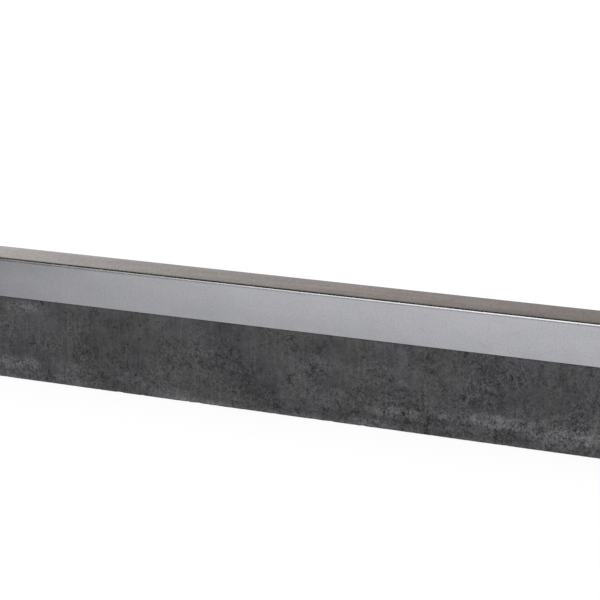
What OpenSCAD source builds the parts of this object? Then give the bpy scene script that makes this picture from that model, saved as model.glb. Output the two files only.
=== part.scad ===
// Garden edging unit: a cast concrete kerb that wears a folded steel capping profile.
// Millimetres. +X runs along the unit, +Y across it and +Z up.
// The origin is the middle of the kerb's foot, on the ground.

/* [Kerb] */
// Length of the concrete kerb
kerb_length = 1000; // [200:10:1200]
// Thickness of the kerb, from face to face
kerb_thickness = 50; // [30:1:120]
// Height of the kerb, from its foot to its flat top
kerb_height = 150; // [80:5:400]
// Radius of the arris round the foot and the ends
kerb_arris = 2; // [0.5:0.5:4]
// How much wider the bevel on the two long top edges is than the folds' inner radius
bevel_allowance = 2; // [0:0.5:5]

/* [Steel profile] */
// Thickness of the sheet
sheet_thickness = 2; // [1:0.5:4]
// Inner radius of each fold
fold_inner_radius = 2; // [1:0.5:4]
// Height of each leg, from the top of the profile to its cut edge
leg_height = 48; // [20:1:70]
// Free play between each leg and the kerb's face
side_clearance = 0.5; // [0.2:0.1:2]
// How far each end of the profile stands back from the end of the kerb
end_setback = 0; // [0:0.5:20]
// Chamfer that takes the burr off the legs' cut edges
edge_break = 0.3; // [0.1:0.1:0.4]

/* [Hidden] */
$fn = 96;
overcut = 1;

// The bevel is at least as wide as the fold's inner radius, so the folds clear the kerb.
kerb_top_bevel = fold_inner_radius + bevel_allowance;
profile_inner_width = kerb_thickness + 2 * side_clearance;
profile_outer_width = profile_inner_width + 2 * sheet_thickness;
fold_outer_radius = fold_inner_radius + sheet_thickness;
profile_top = kerb_height + sheet_thickness;
profile_length = kerb_length - 2 * end_setback;

// Extrudes a section drawn in Y (right) and Z (up) along X, centred on the origin.
module along_x(length) {
    translate([-length / 2, 0, 0])
        rotate([90, 0, 90])
            linear_extrude(height = length)
                children();
}

// Extrudes an elevation drawn in X (right) and Z (up) across Y, centred on the origin.
module across_y(width) {
    translate([0, width / 2, 0])
        rotate([90, 0, 0])
            linear_extrude(height = width)
                children();
}

// What a round of this radius takes off a corner at the origin, whose sides run along +X and +Y.
module corner_waste(radius) {
    difference() {
        translate([-overcut, -overcut])
            square(radius + overcut);
        translate([radius, radius])
            circle(radius);
    }
}

// What a 45 degree bevel of this width takes off the same corner.
module bevel_waste(width) {
    reach = min(overcut, width);
    polygon([
        [-reach, -reach],
        [width + reach, -reach],
        [-reach, width + reach]
    ]);
}

// A rectangle centred on X = 0 and standing on Y = 0, with its four corners rounded.
module rounded_rectangle(width, height, radius) {
    difference() {
        translate([-width / 2, 0])
            square([width, height]);
        for (side = [0, 1], end = [0, 1])
            mirror([side, 0])
                translate([-width / 2, end * height])
                    mirror([0, end])
                        corner_waste(radius);
    }
}

// The kerb's section: a round arris at the foot and a bevel at the top.
module kerb_section() {
    difference() {
        translate([-kerb_thickness / 2, 0])
            square([kerb_thickness, kerb_height]);
        for (side = [0, 1])
            mirror([side, 0]) {
                translate([-kerb_thickness / 2, 0])
                    corner_waste(kerb_arris);
                translate([-kerb_thickness / 2, kerb_height])
                    mirror([0, 1])
                        bevel_waste(kerb_top_bevel);
            }
    }
}

// The kerb is cast in one piece: its section, plan and elevation meet in rounded ends.
module concrete_kerb() {
    color("dimgray")
        intersection() {
            along_x(kerb_length)
                kerb_section();
            across_y(kerb_thickness)
                rounded_rectangle(kerb_length, kerb_height, kerb_arris);
            translate([0, -kerb_thickness / 2, 0])
                linear_extrude(height = kerb_height)
                    rounded_rectangle(kerb_length, kerb_thickness, kerb_arris);
        }
}

// An arch-shaped outline, from Y = foot to Y = profile_top - drop, with round upper corners.
module arch(width, foot, drop, radius) {
    crown = profile_top - drop;
    translate([-width / 2, foot])
        square([width, crown - radius - foot]);
    translate([radius - width / 2, foot])
        square([width - 2 * radius, crown - foot]);
    for (side = [-1, 1])
        translate([side * (width / 2 - radius), crown - radius])
            circle(radius);
}

// The folded section: two legs and a web of one sheet thickness, with concentric fold radii.
module profile_section() {
    leg_foot = profile_top - leg_height;
    difference() {
        arch(profile_outer_width, leg_foot, 0, fold_outer_radius);
        arch(profile_inner_width, leg_foot - overcut, sheet_thickness, fold_inner_radius);
        for (side = [0, 1])
            mirror([side, 0]) {
                translate([-profile_outer_width / 2, leg_foot])
                    bevel_waste(edge_break);
                translate([-profile_inner_width / 2, leg_foot])
                    mirror([1, 0])
                        bevel_waste(edge_break);
            }
    }
}

module steel_profile() {
    color("silver")
        along_x(profile_length)
            profile_section();
}

concrete_kerb();
steel_profile();
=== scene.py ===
"""Looks for a garden edging unit: a cast anthracite kerb under a folded, satin steel profile."""

import math
import random

import bmesh
import bpy
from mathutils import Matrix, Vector, noise
from mathutils.geometry import delaunay_2d_cdt


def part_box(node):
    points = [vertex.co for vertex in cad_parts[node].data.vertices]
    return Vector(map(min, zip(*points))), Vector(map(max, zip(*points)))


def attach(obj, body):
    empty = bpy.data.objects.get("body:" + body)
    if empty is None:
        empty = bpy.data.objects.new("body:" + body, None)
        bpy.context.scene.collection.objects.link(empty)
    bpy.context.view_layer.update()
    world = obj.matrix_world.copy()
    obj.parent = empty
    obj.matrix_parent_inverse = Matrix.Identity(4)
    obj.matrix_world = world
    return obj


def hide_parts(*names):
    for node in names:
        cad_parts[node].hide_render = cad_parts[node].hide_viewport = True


MM = 0.001
QUARTER_TURN = math.pi / 2

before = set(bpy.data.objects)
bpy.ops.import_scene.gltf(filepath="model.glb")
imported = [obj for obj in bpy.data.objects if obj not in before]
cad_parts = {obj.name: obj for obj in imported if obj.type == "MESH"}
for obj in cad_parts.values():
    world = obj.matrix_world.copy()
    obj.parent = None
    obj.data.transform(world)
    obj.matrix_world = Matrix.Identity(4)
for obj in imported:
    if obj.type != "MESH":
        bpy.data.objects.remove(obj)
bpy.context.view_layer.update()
kerb_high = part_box("concrete_kerb")[1]
steel_low, steel_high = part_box("steel_profile")

# ---------------------------------------------------------------- sizes, in metres

KERB_CORNER = 2.1 * MM  # radius of the arrises along the kerb
KERB_END_ARRIS = 2.0 * MM  # radius of the arrises round its ends
KERB_BEVEL = 4.0 * MM  # bevel of its top edges, under the steel

SHEET = 2.0 * MM  # thickness of the steel
FOLD_OUTER = 4.0 * MM  # outer radius of its folds
FOLD_INNER = FOLD_OUTER - SHEET
BURR_BREAK = 0.3 * MM  # chamfer on its cut edges

# How the kerb's mesh is divided.
ARRIS_STEPS = 4  # steps round an arris
ARRIS_STEP = 2.5 * MM  # step along an arris
FACE_STEP = 7.0 * MM  # step on the faces
END_STEP = 6.0 * MM  # step on the two ends
LONG_SIDE = 12 * MM  # a longer side of the section has rows and pits of its own
SEAM_MARGIN = 0.4 * MM  # points that are shifted at random keep this far from the sheet's seam

# Its air voids, and the seeds of all that is random.
PITS_PER_METRE = 3000  # for each metre of a face's height, over the whole length
END_PITS = 34  # on each end
PIT_MARGIN = 1 * MM  # from the sides of a face
END_PIT_MARGIN = 1.5 * MM  # from the arrises of an end
FULL_PIT_SHADE = 0.5 * MM  # a point this deep in a pit has the full painted shade of the pit
SLICE = 10 * MM  # pits are looked up in slices of this width
CRUMBLED = (-210 * MM, -50 * MM)  # where along the kerb its foot has crumbled
PIT_SEED = 41
CHIP_SEED = 17

# How the steel's mesh is divided.
LEG_STEPS = 6
FOLD_STEPS = 10
HALF_WEB_STEPS = 3
LENGTH_STEPS = 48
FOLD_MARGIN = 0.4 * MM  # a row this close to each fold keeps the flats' shading flat
BREAK_STEP = 0.08 * MM  # first step of the break on a cut end

DOWN = Vector((0.0, -1.0))
END_AREAS = {-1: "left_end", 1: "right_end"}


# ---------------------------------------------------------------- small tools

def srgb(red, green, blue):
    """A colour given as screen levels, from 0 to 255, in the linear values that shaders take."""
    def linear(level):
        c = level / 255
        return c / 12.92 if c <= 0.04045 else ((c + 0.055) / 1.055) ** 2.4
    return (linear(red), linear(green), linear(blue), 1.0)


def smooth_step(low, high, value):
    t = min(max((value - low) / (high - low), 0.0), 1.0)
    return t * t * (3 - 2 * t)


class Nodes:
    """Adds nodes to a tree and links them, one short call for each."""

    def __init__(self, tree):
        self.tree = tree
        tree.nodes.clear()

    def add(self, kind, inputs=None, **settings):
        node = self.tree.nodes.new(kind)
        for name, value in settings.items():
            setattr(node, name, value)
        for key, value in (inputs or {}).items():
            if isinstance(value, bpy.types.NodeSocket):
                self.tree.links.new(value, node.inputs[key])
            else:
                node.inputs[key].default_value = value
        return node

    def math(self, operation, a, b=0.0):
        return self.add("ShaderNodeMath", {0: a, 1: b}, operation=operation).outputs[0]

    def total(self, first, *others):
        for other in others:
            first = self.math("ADD", first, other)
        return first

    def product(self, first, *others):
        for other in others:
            first = self.math("MULTIPLY", first, other)
        return first

    def vector_math(self, operation, a, b=(0.0, 0.0, 0.0)):
        node = self.add("ShaderNodeVectorMath", {0: a, 1: b}, operation=operation)
        return node.outputs["Value" if operation == "LENGTH" else "Vector"]

    def axes(self, vector):
        """A vector's three parts."""
        return list(self.add("ShaderNodeSeparateXYZ", {"Vector": vector}).outputs)

    def drawn(self, place, *factors):
        """A place that draws a pattern out along each axis whose factor is below 1."""
        return self.vector_math("MULTIPLY", place, factors)

    def noise(self, place, size, detail=2.0, roughness=0.5, seed=0.0):
        """Noise from 0 to 1 whose blobs are about size metres across."""
        inputs = {"Vector": place, "W": seed, "Scale": 1 / size, "Detail": detail,
                  "Roughness": roughness}
        node = self.add("ShaderNodeTexNoise", inputs, noise_dimensions="4D")
        return node.outputs["Fac"]

    def spread(self, value, low, high, to_low=0.0, to_high=1.0):
        """value eased from to_low at low to to_high at high."""
        inputs = {"Value": value, "From Min": low, "From Max": high, "To Min": to_low,
                  "To Max": to_high}
        node = self.add("ShaderNodeMapRange", inputs, interpolation_type="SMOOTHSTEP")
        return node.outputs["Result"]

    def swing(self, value, amount, middle=0.0):
        """Noise eased, over its usual range, from amount below the middle to amount above it."""
        return self.spread(value, 0.3, 0.7, middle - amount, middle + amount)

    def blend(self, share, a, b, way="MIX"):
        """Colour b over colour a. A mix node's colours are its inputs 6 and 7 and its output 2."""
        node = self.add("ShaderNodeMix", {0: share, 6: a, 7: b}, data_type="RGBA", blend_type=way)
        return node.outputs[2]

    def scaled(self, colour, factor):
        """colour times a number."""
        return self.blend(1.0, colour, self.colour(factor, factor, factor), way="MULTIPLY")

    def colour(self, red, green, blue):
        return self.add("ShaderNodeCombineColor", {0: red, 1: green, 2: blue}).outputs[0]

    def bump(self, height, distance, strength=1.0, under=None):
        inputs = {"Height": height, "Distance": distance, "Strength": strength}
        if under is not None:
            inputs["Normal"] = under
        return self.add("ShaderNodeBump", inputs).outputs["Normal"]

    def attribute(self, name):
        return self.add("ShaderNodeAttribute", attribute_name=name).outputs["Fac"]


def new_material(name):
    material = bpy.data.materials.new(name)
    material.use_nodes = True
    return material, Nodes(material.node_tree)


# ---------------------------------------------------------------- materials

# Marks on the long faces: along the kerb, height, half their length and height, in mm, and strength.
BLOOM = ((-375, 20, 42, 11, 1.0), (-296, 22, 30, 9, 0.45), (-320, 8, 70, 7, 0.6),
         (-222, 18, 30, 12, 0.45), (-168, 8, 30, 8, 0.8), (-130, 2, 60, 6, 1.3),
         (-26, 2, 42, 4, 0.9), (30, 2, 50, 4, 0.8), (90, 5, 34, 6, 1.0), (114, 22, 36, 8, 0.8),
         (173, 24, 8, 5, 1.0), (235, 26, 46, 9, 1.3), (318, 19, 48, 14, 1.1),
         (-362, 93, 34, 8, 0.8), (430, 30, 40, 12, 0.9), (-455, 34, 32, 12, 0.9),
         (-398, 3, 34, 7, 0.8))
STAINS = ((259, 9, 24, 6, 1.0), (175, 18, 9, 4, 1.2), (330, 9, 14, 4, 1.2), (34, 4, 12, 4, 1.2),
          (211, 43, 9, 10, 1.1), (83, 43, 9, 9, 1.1), (-330, 8, 10, 3, 1.0),
          (-60, 30, 34, 14, 0.9), (60, 84, 70, 16, 0.9), (40, 50, 36, 12, 0.9),
          (380, 60, 22, 16, 0.9), (300, 56, 90, 16, 0.6), (-420, 60, 26, 12, 0.8))

STEEL = (0.50, 0.50, 0.512)  # the steel's colour, in linear values
STEEL_WARMTH = 0.0128  # how far its red and green swing apart
STEEL_COOLNESS = 0.0190  # how far its blue swings


def marks(n, place, spots, edge):
    """Each spot's strength in its middle, and 0 outside it. A small edge makes it crisp."""
    total = 0.0
    for along, up, half_length, half_height, strength in spots:
        away = n.vector_math("SUBTRACT", place, (along * MM, 0.0, up * MM))
        scale = (1 / (half_length * MM), 0.0, 1 / (half_height * MM))
        distance = n.vector_math("LENGTH", n.vector_math("MULTIPLY", away, scale))
        spot = n.spread(distance, 0.8 + edge, 0.8 - edge, 0.0, strength)
        total = n.math("MAXIMUM", spot, total)
    return total


def concrete_material():
    """Matt anthracite concrete: clouds, faint drips, dark specks, crusts of bloom near the foot,
    painted shade in the pits and painted light just under the steel's edge.
    """
    material, n = new_material("concrete")
    place = n.add("ShaderNodeTexCoord").outputs["Object"]
    x, _, z = n.axes(place)
    haze = n.spread(n.noise(place, 12 * MM, 4, 0.7, seed=9.9), 0.32, 0.54)
    bloom = n.product(marks(n, place, BLOOM, 0.5), haze)

    # Where the fine texture is lively: low down, in some patches, to the right and in the bloom.
    right = n.spread(x, -100 * MM, 300 * MM)
    low = n.spread(z, 62 * MM, 22 * MM)
    low = n.product(low, n.spread(x, -350 * MM, 300 * MM, 0.28, 0.9))
    some = n.spread(n.noise(place, 42 * MM, 3, 0.6, seed=12.0), 0.42, 0.62)
    busy = n.math("MAXIMUM", low, n.product(some, n.spread(z, 105 * MM, 60 * MM, 0.3, 1.0)))
    busy = n.total(busy, n.product(right, 0.42))
    lively = n.total(0.38, n.product(n.math("MAXIMUM", busy, bloom), 0.75))

    clouds = n.swing(n.noise(place, 85 * MM, 3, 0.55), 0.20)
    patches = n.swing(n.noise(place, 20 * MM, 3, 0.6, seed=3.1), 0.12)
    patches = n.product(patches, n.total(1.0, n.product(right, 0.7)))
    drips = n.swing(n.noise(n.drawn(place, 1.0, 1.0, 0.05), 2.8 * MM, 3, 0.7, seed=7.7), 0.13)
    mottle = n.swing(n.noise(place, 6.5 * MM, 4, 0.7, seed=5.9), 0.30)
    grain = n.swing(n.noise(place, 2 * MM, 3, 0.75, seed=1.3), 0.55)
    specks = n.spread(n.noise(place, 3.6 * MM, 3, 0.7, seed=6.6), 0.56, 0.68, 0.0, -0.50)
    tone = n.total(n.spread(x, -450 * MM, 0.0, 1.08, 1.03), clouds, patches, drips)
    for layer in (mottle, grain, specks):
        tone = n.total(tone, n.product(layer, lively))
    # Painted light: the colour is paler in a band just under the steel's edge, which offsets the shade
    # that the edge casts there.
    edge = steel_low.z
    painted_light_under_edge = n.product(n.spread(z, edge - 8 * MM, edge - 2 * MM),
                     n.spread(z, edge + 5 * MM, edge + 1 * MM))
    tone = n.total(tone, n.product(painted_light_under_edge, 0.15))

    # Marks that lie over the base colour.
    crumbs = n.spread(n.noise(place, 2.6 * MM, 4, 0.8, seed=9.4), 0.47, 0.58)
    crust = n.product(bloom, crumbs)
    stain = n.product(marks(n, place, STAINS, 0.35), haze)
    cells = n.add("ShaderNodeTexVoronoi", {"Vector": place, "Scale": 1 / (4.2 * MM)})
    near_pore = n.spread(cells.outputs["Distance"], 0.24, 0.12)
    has_pore = n.spread(n.noise(place, 9 * MM, 2, 0.5, seed=2.2), 0.5, 0.6)
    pore = n.product(near_pore, has_pore, busy)
    wander = n.noise(place, 16 * MM, 4, 0.6, seed=14.0)
    wander = n.math("ABSOLUTE", n.math("SUBTRACT", wander, 0.5))
    few = n.spread(n.noise(place, 17 * MM, 2, 0.5, seed=15.0), 0.57, 0.63)
    hairline = n.product(n.spread(wander, 0.034, 0.012), few)
    uneven = n.spread(n.noise(place, 7 * MM, 3, 0.6, seed=4.0), 0.4, 0.65)
    rubbed = n.product(n.attribute("worn"), uneven)

    hue = n.spread(n.noise(place, 45 * MM, 2, 0.5, seed=5.0), 0.4, 0.62)
    colour = n.scaled(n.blend(hue, srgb(75, 75, 76), srgb(74, 74, 78)), tone)
    colour = n.scaled(colour, n.total(1.0, n.product(bloom, 0.32)))
    # The pit mark is painted shade: the colour darkens with depth in each pit.
    for mark, strength, tint in (
            (crust, 0.5, srgb(150, 150, 152)), (stain, 0.42, srgb(48, 48, 50)),
            (pore, 0.6, srgb(36, 36, 37)), (hairline, 0.75, srgb(38, 38, 40)),
            (n.attribute("pit"), 0.45, srgb(38, 38, 39)), (rubbed, 0.4, srgb(122, 122, 122))):
        colour = n.blend(n.product(mark, strength), colour, tint)

    coarse = n.bump(n.noise(place, 9 * MM, 3, 0.6, seed=6.0), 0.5 * MM, 0.3)
    fine = n.bump(n.noise(place, 1.6 * MM, 3, 0.7, seed=8.0), 0.12 * MM, 0.5, under=coarse)
    pored = n.bump(n.math("SUBTRACT", 1.0, pore), 0.4 * MM, 0.6, under=fine)
    rough = n.swing(n.noise(place, 20 * MM, 3, 0.6, seed=11.0), 0.09, 0.81)
    shader = n.add("ShaderNodeBsdfPrincipled", {
        "Base Color": colour, "Roughness": rough, "Normal": pored, "Specular IOR Level": 0.35})
    n.add("ShaderNodeOutputMaterial", {"Surface": shader.outputs[0]})
    return material


def steel_material():
    """Satin sheet steel: a fine even grain, faint rolling streaks along its length, a slight crown."""
    material, n = new_material("steel")
    place = n.add("ShaderNodeTexCoord").outputs["Object"]
    _, y, z = n.axes(place)
    on_top = n.spread(z, steel_high.z - 2 * MM, steel_high.z - 0.5 * MM)
    streaks = n.noise(n.drawn(place, 0.012, 1.0, 0.06), 6 * MM, 3, 0.7, seed=2.0)
    scratches = n.noise(n.drawn(place, 0.12, 1.0, 1.0), 1.6 * MM, 3, 0.7, seed=2.6)
    speckle = n.noise(n.drawn(place, 1.0, 0.25, 1.0), 1.4 * MM, 3, 0.7, seed=3.0)
    clouds = n.noise(place, 30 * MM, 3, 0.7, seed=4.0)
    smears = n.noise(n.drawn(place, 0.30, 1.0, 0.5), 18 * MM, 3, 0.6, seed=5.0)

    tone = n.total(n.swing(scratches, 0.03), n.swing(speckle, 0.11), n.swing(clouds, 0.045))
    tone = n.product(tone, n.total(1.0, n.product(on_top, 0.9)))
    tone = n.total(tone, n.swing(streaks, 0.08, 1.0), n.product(n.swing(smears, 0.075), on_top))

    tinted = n.total(0.30, n.product(on_top, 0.40))
    warm = n.product(n.spread(n.noise(place, 19 * MM, 1, seed=21.0), 0.35, 0.65, -1, 1), tinted)
    cool = n.product(n.spread(n.noise(place, 19 * MM, 1, seed=23.0), 0.35, 0.65, -1, 1), tinted)
    red = n.total(STEEL[0], n.product(warm, STEEL_WARMTH))
    green = n.math("SUBTRACT", STEEL[1], n.product(warm, STEEL_WARMTH))
    blue = n.total(STEEL[2], n.product(cool, STEEL_COOLNESS))
    colour = n.scaled(n.colour(red, green, blue), tone)
    rough = n.total(n.swing(clouds, 0.02, 0.26), n.swing(scratches, 0.02))
    rough = n.math("SUBTRACT", rough, n.product(on_top, 0.07))

    bow = n.math("POWER", n.math("ABSOLUTE", n.math("DIVIDE", y, steel_high.y)), 3.0)
    crown = n.bump(n.math("SUBTRACT", 1.0, bow), 0.32 * MM)
    waviness = n.noise(n.drawn(place, 0.3, 1.0, 1.0), 25 * MM, 1, 0.4)
    waves = n.bump(waviness, 0.15 * MM, 0.25, under=crown)
    grain = n.bump(scratches, 0.012 * MM, 0.5, under=waves)
    shader = n.add("ShaderNodeBsdfPrincipled", {
        "Base Color": colour, "Metallic": 1.0, "Roughness": rough, "Normal": grain})
    n.add("ShaderNodeOutputMaterial", {"Surface": shader.outputs[0]})
    return material


# ---------------------------------------------------------------- meshes

class MeshMaker:
    """Gathers vertices with their pit depth, which the concrete paints as shade, and their wear, and
    faces with their place on the flat layout.
    """

    def __init__(self):
        self.vertices = []
        self.marks = {"pit": [], "worn": []}
        self.faces = []
        self.uvs = []
        self.areas = []

    def vertex(self, place, pit=0.0, worn=0.0):
        self.vertices.append(place)
        self.marks["pit"].append(pit)
        self.marks["worn"].append(worn)
        return len(self.vertices) - 1

    def face(self, indices, uv, area):
        self.faces.append(indices)
        self.uvs.append(uv)
        self.areas.append(area)

    def add_bands(self, rings, along, around, flipped=False):
        """Joins rings of vertices with quads. along and around are their places on the sheet."""
        count = len(rings[0])
        for ring_a, ring_b, u_a, u_b in zip(rings, rings[1:], along, along[1:]):
            for k in range(count):
                m = (k + 1) % count
                v_a, v_b = around[k], around[k + 1]
                quad = [ring_a[k], ring_a[m], ring_b[m], ring_b[k]]
                uv = [(u_a, v_a), (u_a, v_b), (u_b, v_b), (u_b, v_a)]
                if flipped:
                    quad.reverse()
                    uv.reverse()
                self.face(quad, uv, "sheet")

    def add_patch(self, patch, surface, area, flipped):
        """Adds a patch. surface gives a point's place and how near it lies to an arris."""
        points, depths, faces = patch.triangles()
        index = []
        for (u, v), depth in zip(points, depths):
            place, corner = surface(u, v, depth)
            index.append(self.vertex(place, min(depth / FULL_PIT_SHADE, 1.0), corner))
        for face in faces:
            face = face[::-1] if flipped else face
            self.face([index[i] for i in face], [tuple(points[i]) for i in face], area)


def strip_layout(cuts, length, reach, end_size):
    """Lays a wrapped sheet out as strips, each in a left and a right half, to fill the bake's square.

    The cuts and the length are distances round the section, and reach is half the sheet's length.
    The two ends lie side by side after the last strip.
    """
    gap = 4 * MM
    end_width, end_height = end_size
    edges = [0.0] + cuts + [length]
    strips = {False: [], True: []}
    top = gap
    for low, high in zip(edges, edges[1:]):
        for right in (False, True):
            strips[right].append((low, high, top))
            top += high - low + gap
    tall = top + end_width + gap
    wide = reach + 2 * gap

    def layout(uv, area):
        if area != "sheet":
            shift = gap if area == END_AREAS[-1] else 2 * gap + end_height
            return [((shift + v) / wide, (top + u + end_width / 2) / tall) for u, v in uv]
        middle = min(max(sum(v for u, v in uv) / len(uv), 0.0), length)
        right = sum(u for u, v in uv) >= 0
        low, start = next((low, start) for low, high, start in strips[right] if low <= middle <= high)
        shift = gap if right else gap + reach
        return [((shift + u) / wide, (start + v - low) / tall) for u, v in uv]

    return layout


def to_object(name, mesh, layout, material, sharp_angle):
    """Makes the gathered mesh an object, with its marks and its bake layout."""
    data = bpy.data.meshes.new(name)
    data.from_pydata([tuple(v) for v in mesh.vertices], [], mesh.faces)
    for mark, values in mesh.marks.items():
        data.attributes.new(mark, "FLOAT", "POINT").data.foreach_set("value", values)
    flat = data.uv_layers.new(name="OFBake")
    corner = 0
    for uv, area in zip(mesh.uvs, mesh.areas):
        for place in layout(uv, area):
            flat.data[corner].uv = place
            corner += 1
    piece = bpy.data.objects.new(name, data)
    bpy.context.scene.collection.objects.link(piece)
    weld(data)
    data.shade_smooth()
    data.set_sharp_from_angle(angle=sharp_angle)
    data.materials.append(material)
    return piece


def weld(data):
    """Joins the vertices that lie in one place, and turns the faces outwards."""
    shape = bmesh.new()
    shape.from_mesh(data)
    bmesh.ops.remove_doubles(shape, verts=shape.verts, dist=0.002 * MM)
    bmesh.ops.recalc_face_normals(shape, faces=shape.faces)
    shape.to_mesh(data)
    shape.free()


# ---------------------------------------------------------------- the kerb's mesh

class Outline:
    """A closed convex outline in Y and Z with round corners.

    It is walked anticlockwise, by distance, from the middle of the side that ends at its first corner.
    """

    def __init__(self, corners, radius):
        self.pieces = []
        self.length = 0.0
        count = len(corners)
        cut = []
        for i, corner in enumerate(corners):
            before = (corner - corners[i - 1]).normalized()
            after = (corners[(i + 1) % count] - corner).normalized()
            turn = before.angle(after)
            cut.append((before, after, turn, radius * math.tan(turn / 2)))
        here = (corners[-1] + corners[0]) / 2
        for corner, (before, after, turn, back) in zip(corners, cut):
            arc_start = corner - before * back
            self._straight(here, arc_start, before)
            out = Vector((before.y, -before.x))
            self._arc(arc_start - out * radius, radius, out, turn)
            here = corner + after * back
        self._straight(here, (corners[-1] + corners[0]) / 2, cut[-1][1])

    def _straight(self, start, end, along):
        out = Vector((along.y, -along.x))
        size = (end - start).length
        self.pieces.append(("side", self.length, size, lambda d: (start + along * d, out)))
        self.length += size

    def _arc(self, centre, radius, out, turn):
        def place(d):
            c, s = math.cos(d / radius), math.sin(d / radius)
            n = Vector((out.x * c - out.y * s, out.x * s + out.y * c))
            return centre + n * radius, n
        self.pieces.append(("arc", self.length, radius * turn, place))
        self.length += radius * turn

    def at(self, distance):
        """The point and the outward normal at a distance along the outline."""
        rounding = 1e-9
        for _, start, size, place in self.pieces:
            if distance <= start + size + rounding:
                return place(max(distance - start, 0.0))
        return place(size)

    def rows(self):
        """The distances at which rows of points lie, and those of the arrises' middles."""
        rows = [0.0, self.length]
        middles = []
        near, next_near = 1.2 * MM, 3.0 * MM
        for kind, start, size, _ in self.pieces:
            if kind == "arc":
                rows += [start + size * k / ARRIS_STEPS for k in range(ARRIS_STEPS + 1)]
                middles.append(start + size / 2)
            elif size > LONG_SIDE:
                inner = size - 2 * next_near
                count = max(1, round(inner / FACE_STEP))
                rows += [start + near, start + size - near]
                rows += [start + next_near + inner * k / count for k in range(count + 1)]
            else:
                rows.append(start + size / 2)
        return sorted({round(row, 7) for row in rows}), middles


class Pit:
    """An air void in a cast face: an uneven bowl."""

    def __init__(self, u, v, radius, rng):
        self.u, self.v, self.radius = u, v, radius
        self.depth = radius * rng.uniform(0.45, 0.95)
        self.lobes = [(k, rng.uniform(0, 0.3 / k), rng.uniform(0, 2 * math.pi)) for k in (1, 2, 3)]
        self.squeeze = rng.uniform(0.0, 0.5)
        self.lean = rng.uniform(0, math.pi)
        # Each ring's share of the reach and of the depth.
        if radius < 0.8 * MM:
            self.sides, self.rings = 7, ((1.0, 0.0), (0.7, 0.75))
        elif radius < 1.5 * MM:
            self.sides, self.rings = 9, ((1.0, 0.0), (0.82, 0.5), (0.5, 0.88))
        else:
            self.sides, self.rings = 13, ((1.0, 0.0), (0.88, 0.42), (0.68, 0.75), (0.38, 0.94))

    def reach(self, angle):
        """The rim's distance from the middle at an angle."""
        wobble = sum(size * math.sin(k * angle + turn) for k, size, turn in self.lobes)
        squeezed = 1 - self.squeeze * math.sin(angle - self.lean) ** 2
        return self.radius * (1 + wobble) * squeezed


def scatter_pits(area, count, rng):
    """Pits that don't meet, inside a (low u, high u, low v, high v) area.

    Six in ten are tried in clusters, one cluster for every 18 pits. Most have a radius of little over
    0.35 mm, and a few come near 2 mm.
    """
    low_u, high_u, low_v, high_v = area
    clusters = [(rng.uniform(low_u, high_u), rng.uniform(low_v, high_v), rng.uniform(0.02, 0.06))
                for _ in range(max(2, count // 18))]
    pits = []
    for _ in range(count * 6):
        if len(pits) == count:
            break
        radius = MM * (0.35 + 1.6 * rng.random() ** 8)
        if rng.random() < 0.6:
            cluster_u, cluster_v, size = rng.choice(clusters)
            u, v = rng.gauss(cluster_u, size), rng.gauss(cluster_v, size * 0.5)
        else:
            u, v = rng.uniform(low_u, high_u), rng.uniform(low_v, high_v)
        edge = radius * 1.4 + 0.5 * MM
        inside = low_u + edge < u < high_u - edge and low_v + edge < v < high_v - edge
        clear = all(math.hypot(u - p.u, v - p.v) > 1.5 * (radius + p.radius) + 0.3 * MM for p in pits)
        if inside and clear:
            pits.append(Pit(u, v, radius, rng))
    return pits


class PitFinder:
    """Looks pits up by where they are along the sheet."""

    def __init__(self, pits):
        self.slices = {}
        for pit in pits:
            middle = int(pit.u / SLICE)
            for key in range(middle - 2, middle + 3):
                self.slices.setdefault(key, []).append(pit)

    def clear(self, u, v):
        """True where a point is well outside every pit's rim."""
        near = self.slices.get(int(u / SLICE), [])
        return all(math.hypot(u - p.u, v - p.v) > 1.35 * p.radius + 0.35 * MM for p in near)


class Patch:
    """Points on a flat sheet, with how deep each lies, that are joined into triangles."""

    def __init__(self):
        self.points = []
        self.depths = []
        self.edges = []

    def add(self, u, v, depth=0.0):
        self.points.append(Vector((u, v)))
        self.depths.append(depth)
        return len(self.points) - 1

    def chain(self, indices, closed=False):
        self.edges += list(zip(indices, indices[1:]))
        if closed:
            self.edges.append((indices[-1], indices[0]))

    def sink(self, pit):
        """Adds rings of points that sink to a pit's floor."""
        for share, sunk in pit.rings:
            ring = []
            for k in range(pit.sides):
                angle = 2 * math.pi * k / pit.sides
                reach = pit.reach(angle) * share
                ring.append(self.add(pit.u + reach * math.cos(angle), pit.v + reach * math.sin(angle),
                                     pit.depth * sunk))
            if share == 1.0:
                self.chain(ring, closed=True)
        self.add(pit.u, pit.v, pit.depth)

    def triangles(self):
        """Points, depths and triangles, anticlockwise in the sheet."""
        whole_hull, epsilon = 0, 1e-8
        points, _, faces, origins, _, _ = delaunay_2d_cdt(
            self.points, self.edges, [], whole_hull, epsilon)
        depths = [max((self.depths[i] for i in given), default=0.0) for given in origins]
        return points, depths, faces


class Chip:
    """A place where an arris has lost a flake. The radius and the depth are in millimetres."""

    def __init__(self, centre, radius, depth):
        self.centre, self.radius, self.depth = Vector(centre), radius * MM, depth * MM

    def loss(self, place):
        share = (place - self.centre).length / self.radius
        return self.depth * (1 - share * share) if share < 1 else 0.0


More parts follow.
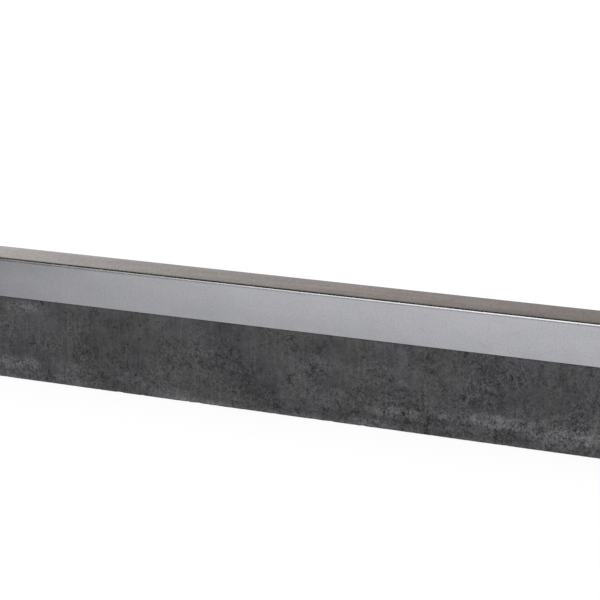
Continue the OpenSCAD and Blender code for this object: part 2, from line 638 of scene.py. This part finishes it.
def arris_chips(rng):
    """Chips along the two foot arrises, with a crumbled stretch, and up the four upright ones."""
    half_x, half_y = kerb_high.x, kerb_high.y
    chips = []
    for _ in range(22):
        centre = (rng.uniform(*CRUMBLED), -half_y, rng.uniform(0.0, 1.5 * MM))
        chips.append(Chip(centre, rng.uniform(1.5, 3.0), rng.uniform(0.4, 1.1)))
    for side in (-1, 1):
        for _ in range(26):
            centre = (rng.uniform(-half_x, half_x), side * half_y, 0.0)
            chips.append(Chip(centre, rng.uniform(1.5, 4.0), rng.uniform(0.2, 0.7)))
        for end in (-1, 1):
            for _ in range(6):
                centre = (end * half_x, side * half_y, rng.uniform(0.0, kerb_high.z))
                chips.append(Chip(centre, rng.uniform(2, 4.5), rng.uniform(0.3, 0.8)))
    return chips


class KerbSkin:
    """The kerb's long faces as one flat sheet: u runs along the kerb, and v round its section."""

    def __init__(self, chips):
        half, top = kerb_high.y, kerb_high.z
        corners = [Vector(p) for p in (
            (-half + KERB_BEVEL, top), (-half, top - KERB_BEVEL), (-half, 0.0),
            (half, 0.0), (half, top - KERB_BEVEL), (half - KERB_BEVEL, top))]
        self.outline = Outline(corners, KERB_CORNER)
        self.rows, self.arrises = self.outline.rows()
        self.chips = chips
        self.flat_x = kerb_high.x - KERB_END_ARRIS

    def cornered(self, v):
        """1 on an arris that runs along the kerb, falling to 0 on the faces beside it."""
        nearest = min(abs(v - arris) for arris in self.arrises)
        return 1 - smooth_step(1.6 * MM, 4.5 * MM, nearest)

    def relief(self, place, corner):
        """How far the cast surface lies behind its true place. corner is 1 on an arris, 0 away."""
        slow = 0.5 + 0.5 * noise.noise(place / (45 * MM))
        quick = 0.5 + 0.5 * noise.noise(place / (8 * MM))
        rough = max(noise.noise(place / (4.5 * MM)), 0.0)
        relief = MM * (0.12 * slow + 0.05 * quick + corner * (0.02 + 0.3 * rough))
        return relief + sum(chip.loss(place) for chip in self.chips)

    def point(self, u, v, depth=0.0, turn=0.0):
        """Where a point of the sheet lies when it is sunk by depth, and how near it is to an arris.

        At the sheet's ends, turn takes it round the end's arris, up to a quarter turn.
        """
        (y, z), out = self.outline.at(v)
        x = u + math.copysign(KERB_END_ARRIS * math.sin(turn), u)
        back = KERB_END_ARRIS * (1 - math.cos(turn))
        true = Vector((x, y - out.x * back, z - out.y * back))
        normal = Vector((0.0, out.x, out.y)) * math.cos(turn)
        normal.x = math.copysign(math.sin(turn), u)
        near_end = 1 - smooth_step(0.0, 5 * MM, self.flat_x - abs(u))
        corner = max(self.cornered(v), near_end)
        return true - normal * (depth + self.relief(true, corner)), corner


def add_long_faces(mesh, skin, rng):
    """The faces that run along the kerb, with their pits."""
    sheet = Patch()
    pits = []
    for kind, low, size, _ in skin.outline.pieces:
        if kind == "side" and size > LONG_SIDE:
            area = (-skin.flat_x, skin.flat_x, low + PIT_MARGIN, low + size - PIT_MARGIN)
            pits += scatter_pits(area, int(PITS_PER_METRE * size), rng)
    finder = PitFinder(pits)

    for row in skin.rows:
        on_arris = skin.cornered(row) > 0.05
        step = ARRIS_STEP if on_arris else FACE_STEP
        count = round(skin.flat_x / step)
        fixed = on_arris or row in (skin.rows[0], skin.rows[-1])
        line = []
        for k in range(-count, count + 1):
            u, v = skin.flat_x * k / count, row
            # The middle of a row stays in place too, because the bake layout is cut there.
            inner = abs(k) not in (0, count)
            if inner and not fixed:
                u += rng.uniform(-0.3, 0.3) * step
                v += rng.uniform(-0.25, 0.25) * step
                v = min(max(v, SEAM_MARGIN), skin.outline.length - SEAM_MARGIN)
            if not inner or finder.clear(u, v):
                line.append(sheet.add(u, v))
        if fixed:
            sheet.chain(line)
    for pit in pits:
        sheet.sink(pit)
    mesh.add_patch(sheet, skin.point, "sheet", flipped=True)


def add_end_arris(mesh, skin, end):
    """The rounded arris between the long faces and one end."""
    turns = [QUARTER_TURN * step / ARRIS_STEPS for step in range(ARRIS_STEPS + 1)]
    rings = []
    for turn in turns:
        ring = []
        for row in skin.rows[:-1]:
            place, corner = skin.point(end * skin.flat_x, row, turn=turn)
            ring.append(mesh.vertex(place, worn=corner))
        rings.append(ring)
    along = [end * (skin.flat_x + KERB_END_ARRIS * turn) for turn in turns]
    mesh.add_bands(rings, along, skin.rows, flipped=end > 0)


def add_end_face(mesh, skin, end, rng):
    """One flat end of the kerb, inside its rounded arris."""
    patch = Patch()
    rim = []
    for row in skin.rows[:-1]:
        (y, z), out = skin.outline.at(row)
        rim.append(patch.add(y - out.x * KERB_END_ARRIS, z - out.y * KERB_END_ARRIS))
    patch.chain(rim, closed=True)

    half_y = kerb_high.y - KERB_END_ARRIS - END_PIT_MARGIN
    low_z = KERB_END_ARRIS + END_PIT_MARGIN
    high_z = kerb_high.z - KERB_BEVEL - 2 * END_PIT_MARGIN
    pits = scatter_pits((-half_y, half_y, low_z, high_z), END_PITS, rng)
    finder = PitFinder(pits)
    for i in range(int(2 * half_y / END_STEP) + 1):
        for j in range(int((high_z - low_z) / END_STEP) + 1):
            u = -half_y + END_STEP * (i + rng.uniform(0.1, 0.6))
            v = low_z + END_STEP * (j + rng.uniform(0.1, 0.6))
            if u < half_y and v < high_z and finder.clear(u, v):
                patch.add(u, v)
    for pit in pits:
        patch.sink(pit)

    # y + z along the bevel, which is a 45 degree side of the end.
    bevel = kerb_high.y + kerb_high.z - KERB_BEVEL

    def end_point(y, z, depth):
        to_bevel = (bevel - abs(y) - z) / math.sqrt(2)
        inside = min(kerb_high.y - abs(y), z, kerb_high.z - z, to_bevel)
        corner = 1 - smooth_step(0.0, 4 * MM, inside - KERB_END_ARRIS)
        true = Vector((end * kerb_high.x, y, z))
        sunk = depth + skin.relief(true, corner)
        return true - Vector((end * sunk, 0.0, 0.0)), corner

    mesh.add_patch(patch, end_point, END_AREAS[end], flipped=end < 0)


def build_kerb():
    """The cast kerb: a sheet wrapped round its section, rounded ends, pits and worn arrises."""
    mesh = MeshMaker()
    rng = random.Random(PIT_SEED)
    skin = KerbSkin(arris_chips(random.Random(CHIP_SEED)))
    add_long_faces(mesh, skin, rng)
    for end in (-1, 1):
        add_end_arris(mesh, skin, end)
        add_end_face(mesh, skin, end, rng)
    reach = skin.flat_x + KERB_END_ARRIS * QUARTER_TURN
    end_size = (2 * kerb_high.y, kerb_high.z)
    return mesh, strip_layout(skin.arrises[1:-1], skin.outline.length, reach, end_size)


# ---------------------------------------------------------------- the steel profile's mesh

def steel_rows():
    """The folded section, foot to foot: outer points, the inner points behind them and the way out."""
    half, top = steel_high.y, steel_high.z
    leg_low, leg_high = steel_low.z + BURR_BREAK, top - FOLD_OUTER
    centre = Vector((-half + FOLD_OUTER, leg_high))
    rows = []
    levels = [leg_low + (leg_high - leg_low) * k / LEG_STEPS for k in range(LEG_STEPS)]
    for z in levels + [leg_high - FOLD_MARGIN]:
        rows.append((Vector((-half, z)), Vector((-half + SHEET, z)), Vector((-1.0, 0.0))))
    for k in range(FOLD_STEPS + 1):
        angle = QUARTER_TURN * k / FOLD_STEPS
        out = Vector((-math.cos(angle), math.sin(angle)))
        rows.append((centre + out * FOLD_OUTER, centre + out * FOLD_INNER, out))
    places = [centre.x * (1 - k / HALF_WEB_STEPS) for k in range(1, HALF_WEB_STEPS + 1)]
    for y in [centre.x + FOLD_MARGIN] + places:
        rows.append((Vector((y, top)), Vector((y, top - SHEET)), Vector((0.0, 1.0))))
    mirrored = [tuple(Vector((-part.x, part.y)) for part in row) for row in reversed(rows[:-1])]
    return rows + mirrored


def cut_edge(row, side):
    """The foot of a leg, from its outer face to its inner one, between its burr breaks."""
    outer, inner, _ = row
    inset = side * BURR_BREAK
    return [(Vector((outer.x - inset, steel_low.z)), DOWN),
            (Vector((inner.x + inset, steel_low.z)), DOWN)]


def build_steel():
    """The folded sheet: outer skin, inner skin, cut edges and cut ends, with their burrs broken."""
    mesh = MeshMaker()
    rows = steel_rows()
    loop = [(outer, out) for outer, _, out in rows]
    loop += cut_edge(rows[-1], 1)
    loop += [(inner, -out) for _, inner, out in reversed(rows)]
    loop += reversed(cut_edge(rows[0], -1))
    around = [0.0]
    for (a, _), (b, _) in zip(loop, loop[1:] + loop[:1]):
        around.append(around[-1] + (b - a).length)

    # How far from a cut end a ring lies, and how far inside the skin.
    half_x = steel_high.x
    breaks = [(0.0, BURR_BREAK), (BREAK_STEP, BREAK_STEP), (BURR_BREAK, 0.0)]
    stations = [(-half_x + away, inset) for away, inset in breaks]
    stations += [(-half_x + 2 * half_x * k / LENGTH_STEPS, 0.0) for k in range(1, LENGTH_STEPS)]
    stations += [(half_x - away, inset) for away, inset in reversed(breaks)]
    rings = []
    for x, inset in stations:
        ring = []
        for place, out in loop:
            y, z = place - out * inset
            ring.append(mesh.vertex(Vector((x, y, z))))
        rings.append(ring)
    mesh.add_bands(rings, [x for x, _ in stations], around)

    # The outer and the inner point of a row have places in the loop that add up to facing.
    last = len(rows) - 1
    facing = 2 * len(rows) + 1
    cells = [(k, k + 1, facing - k - 1, facing - k) for k in range(last)]
    cells += [(last, last + 1, last + 2, last + 3), (facing, facing + 1, facing + 2, 0)]
    for end, ring in ((-1, rings[0]), (1, rings[-1])):
        for cell in cells:
            uv = [(loop[k][0].x, loop[k][0].y - steel_low.z) for k in cell]
            mesh.face([ring[k] for k in cell], uv, END_AREAS[end])
    cuts = [around[last], around[last + 2], around[facing]]
    end_size = (2 * steel_high.y, steel_high.z - steel_low.z)
    return mesh, strip_layout(cuts, around[-1], half_x, end_size)


# ---------------------------------------------------------------- studio

def graded_studio(n, x, y, z):
    """The colour that gloss sees in a direction. The camera is on the side where y is negative."""
    # The far side is warm, and darker to the right in three stages.
    far = n.blend(n.spread(x, -0.59, -0.41), (0.95, 0.904, 0.871, 1), (0.60, 0.557, 0.530, 1))
    far = n.blend(n.spread(x, -0.42, -0.35), far, (0.590, 0.522, 0.494, 1))
    far = n.blend(n.spread(x, -0.38, -0.20), far, (0.453, 0.404, 0.378, 1))
    # It is bright in a band that tilts, dimmer under it and over it, and dimmest over it to the right.
    rise = n.math("SUBTRACT", z, n.product(x, 0.11))
    under = n.spread(rise, 0.17, 0.28, 0.5, 1.0)
    over = n.spread(rise, 0.27, 0.37, 1.0, n.spread(x, -0.66, -0.57, 1.0, 0.62))
    over_right = n.spread(rise, 0.32, 0.42, 1.0, n.spread(x, -0.42, -0.28, 1.0, 0.62))
    far = n.scaled(far, n.product(under, over, over_right))

    # The camera's side goes from dark to pale to grey.
    near = n.blend(n.spread(x, -0.505, -0.43), (0.03, 0.03, 0.031, 1), (0.74, 0.74, 0.745, 1))
    near = n.blend(n.spread(x, -0.42, -0.18), near, (0.36, 0.36, 0.365, 1))
    forward = n.spread(y, -0.41, -0.51)
    studio = n.blend(forward, far, near)

    # The near fold mirrors a strip of dark ceiling as a dark line. To the right all is pale.
    ceiling = n.product(n.spread(z, 0.47, 0.75), n.math("SUBTRACT", 1.0, forward),
                        n.spread(x, -0.66, -0.57))
    dark = n.blend(n.spread(y, 0.50, 0.28), (0.25, 0.232, 0.225, 1), (0.012, 0.009, 0.007, 1))
    studio = n.blend(ceiling, studio, dark)
    studio = n.blend(n.spread(x, -0.17, 0.05), studio, (0.72, 0.72, 0.73, 1))

    # The near fold mirrors a softbox, over the camera, as a bright line. Elsewhere it is weak.
    high = n.product(n.spread(z, 0.42, 0.60), forward)
    wide = n.product(n.spread(x, -0.525, -0.22), n.spread(x, 0.45, 0.25))
    strong = n.product(n.spread(x, 0.08, -0.14), n.spread(z, 0.95, 0.81))
    softbox = n.blend(strong, (1.1, 1.1, 1.1, 1), (2.65, 2.65, 2.65, 1))
    return n.blend(n.product(high, wide), studio, softbox)


def build_world():
    """White behind the object and a plain soft light. Gloss sees a graded studio."""
    world = bpy.data.worlds.new("studio")
    world.use_nodes = True
    bpy.context.scene.world = world
    n = Nodes(world.node_tree)
    x, y, z = n.axes(n.add("ShaderNodeTexCoord").outputs["Generated"])
    path = n.add("ShaderNodeLightPath").outputs
    seen = n.math("MAXIMUM", path["Is Camera Ray"], path["Is Transmission Ray"])
    lit = n.blend(n.spread(z, -0.2, 0.9), (0.95, 0.95, 0.96, 1), (1.02, 1.01, 1.0, 1))
    colour = n.blend(path["Is Glossy Ray"], lit, graded_studio(n, x, y, z))
    colour = n.blend(seen, colour, (1.0, 1.0, 1.0, 1))
    background = n.add("ShaderNodeBackground", {"Color": colour, "Strength": 1.0})
    n.add("ShaderNodeOutputWorld", {"Surface": background.outputs[0]})


def floor_material():
    """Matt and pale, but white with the object's shadow to the camera, and graded to gloss, with a
    painted shadow of the object in that grade.
    """
    material, n = new_material("floor")
    x, y, _ = n.axes(n.add("ShaderNodeTexCoord").outputs["Object"])
    away = n.math("ABSOLUTE", y)
    slant = n.total(x, n.product(away, 0.4))
    glow = n.blend(n.spread(slant, -0.66, -0.22), (0.46, 0.46, 0.488, 1), (0.845, 0.845, 0.877, 1))
    glow = n.blend(n.spread(slant, -0.22, 0.38), glow, (0.975, 0.975, 1.009, 1))
    # Painted shadow: the glow that gloss sees is dimmer near the object, standing in for the object's
    # shadow on the floor.
    near = n.spread(away, 0.30, 0.50, 0.73, 1.0)
    far = n.spread(away, 0.8, 1.6, 1.0, n.spread(x, -1.0, -0.2, 0.7, 0.4))
    glow = n.scaled(glow, n.product(near, far))

    matt = n.add("ShaderNodeBsdfDiffuse", {"Color": (0.8, 0.8, 0.8, 1)}).outputs[0]
    mirrored = n.add("ShaderNodeEmission", {"Color": glow}).outputs[0]
    shadow = n.add("ShaderNodeBsdfDiffuse", {"Color": (0.11, 0.11, 0.11, 1)}).outputs[0]
    white = n.add("ShaderNodeEmission", {"Color": (0.91, 0.91, 0.91, 1)}).outputs[0]
    shown = n.add("ShaderNodeAddShader", {0: shadow, 1: white}).outputs[0]
    path = n.add("ShaderNodeLightPath").outputs
    surface = n.add("ShaderNodeMixShader", {0: path["Is Glossy Ray"], 1: matt, 2: mirrored}).outputs[0]
    surface = n.add("ShaderNodeMixShader", {0: path["Is Camera Ray"], 1: surface, 2: shown}).outputs[0]
    n.add("ShaderNodeOutputMaterial", {"Surface": surface})
    return material


def build_floor():
    """A wide plain floor, just under the kerb's foot."""
    size = 30.0
    data = bpy.data.meshes.new("floor")
    data.from_pydata([(-size, -size, 0), (size, -size, 0), (size, size, 0), (-size, size, 0)], [],
                     [(0, 1, 2, 3)])
    data.materials.append(floor_material())
    floor = bpy.data.objects.new("floor", data)
    floor.location.z = -0.2 * MM
    bpy.context.scene.collection.objects.link(floor)


def build_camera():
    """A long lens, in front of the kerb and past its right end, that looks down to the left."""
    camera = bpy.data.objects.new("camera", bpy.data.cameras.new("camera"))
    camera.data.lens = 110.79
    camera.data.clip_start = 0.05
    camera.data.clip_end = 100
    camera.location = (0.778, -1.8762, 0.6995)
    pitch, swing = math.radians(15.55), math.radians(22.82)
    camera.rotation_euler = (QUARTER_TURN - pitch, 0.0, swing)
    bpy.context.scene.collection.objects.link(camera)
    bpy.context.scene.camera = camera


# ---------------------------------------------------------------- the scene

bpy.context.scene.view_settings.view_transform = "Standard"
build_camera()
build_world()
build_floor()

mesh, layout = build_kerb()
kerb = to_object("cast_kerb", mesh, layout, concrete_material(), sharp_angle=math.radians(38))
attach(kerb, "root")
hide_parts("concrete_kerb")

mesh, layout = build_steel()
steel = to_object("folded_profile", mesh, layout, steel_material(), sharp_angle=math.radians(18))
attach(steel, "root")
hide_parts("steel_profile")
